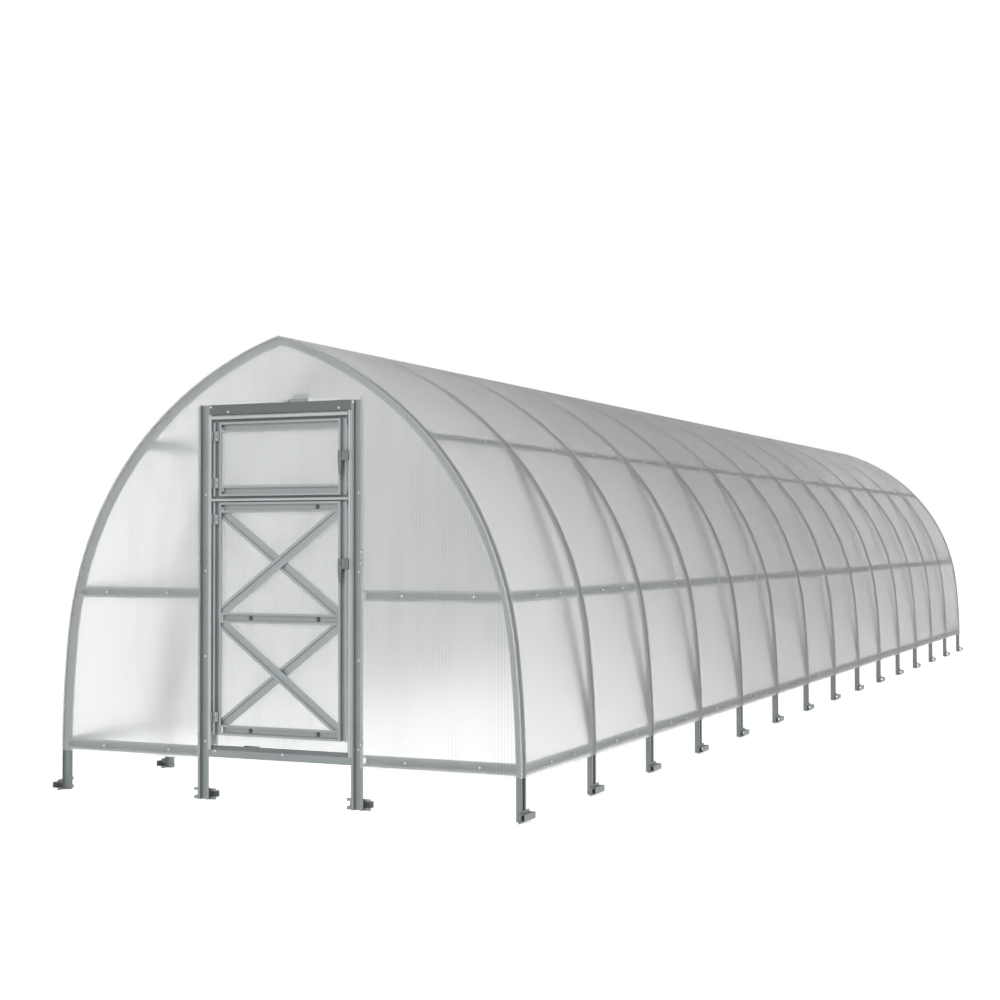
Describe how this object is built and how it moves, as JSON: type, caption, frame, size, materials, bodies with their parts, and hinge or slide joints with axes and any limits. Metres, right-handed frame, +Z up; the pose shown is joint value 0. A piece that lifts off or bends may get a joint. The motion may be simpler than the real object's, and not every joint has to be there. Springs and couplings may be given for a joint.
{
  "type": "arched greenhouse",
  "caption": "Long pointed-arch greenhouse of bent hat-section steel arches and purlins, clad in clear twin-wall sheet, with a cross-braced hinged door and a vent over it",
  "frame": {"origin": "centre of the plan at the level of the undersides of the feet", "axes": "+Z up, Y along the ridge with the door wall at -Y, X across the house"},
  "size_m": [3.0864, 14.85, 2.6638],
  "materials": {
    "steel": "galvanised steel strip, dull, cool grey",
    "strip": "bright rolled edge strip, satin",
    "latch": "grey powder coat, satin",
    "sheet": "clear twin-wall polycarbonate with fine upright flutes"
  },
  "bodies": {
    "house": {"door_hinge_pins": "steel", "door_jambs": "strip", "front_arch": "steel", "front_bottom_rails": "steel", "front_left_sheet": "sheet", "front_middle_rails": "steel", "front_post_feet": "steel", "front_posts": "steel", "front_right_sheet": "sheet", "front_top_sheet": "sheet", "head_strip": "strip", "inner_arches": "steel", "left_bottom_rail": "steel", "left_feet": "steel", "left_lower_sheets": "sheet", "left_middle_purlin": "steel", "left_middle_sheets": "sheet", "left_struts": "steel", "left_upper_purlin": "steel", "left_upper_sheets": "sheet", "lintel": "steel", "lintel_clip": "steel", "rear_arch": "steel", "rear_lintel": "steel", "rear_post_feet": "steel", "rear_posts": "steel", "rear_rails": "steel", "rear_sheet": "sheet", "right_bottom_rail": "steel", "right_feet": "steel", "right_lower_sheets": "sheet", "right_middle_purlin": "steel", "right_middle_sheets": "sheet", "right_struts": "steel", "right_upper_purlin": "steel", "right_upper_sheets": "sheet", "sill": "steel", "transom_strip": "strip", "vent_hinges": "steel", "vent_latch": "latch", "vent_rails": "steel", "vent_sheet": "sheet", "vent_stiles": "steel"},
    "door": {"door_stiles": "steel", "door_rails": "steel", "door_sheet": "sheet", "upper_braces": "steel", "lower_braces": "steel", "door_hinges": "steel", "door_latch": "latch"}
  },
  "joints": [
    {"name": "door_hinge", "type": "hinge", "parent": "house", "child": "door", "pos_m": [-0.447, -7.3742, 1.05], "axis": [0, 0, -1], "range_deg": [0, 110]}
  ]
}
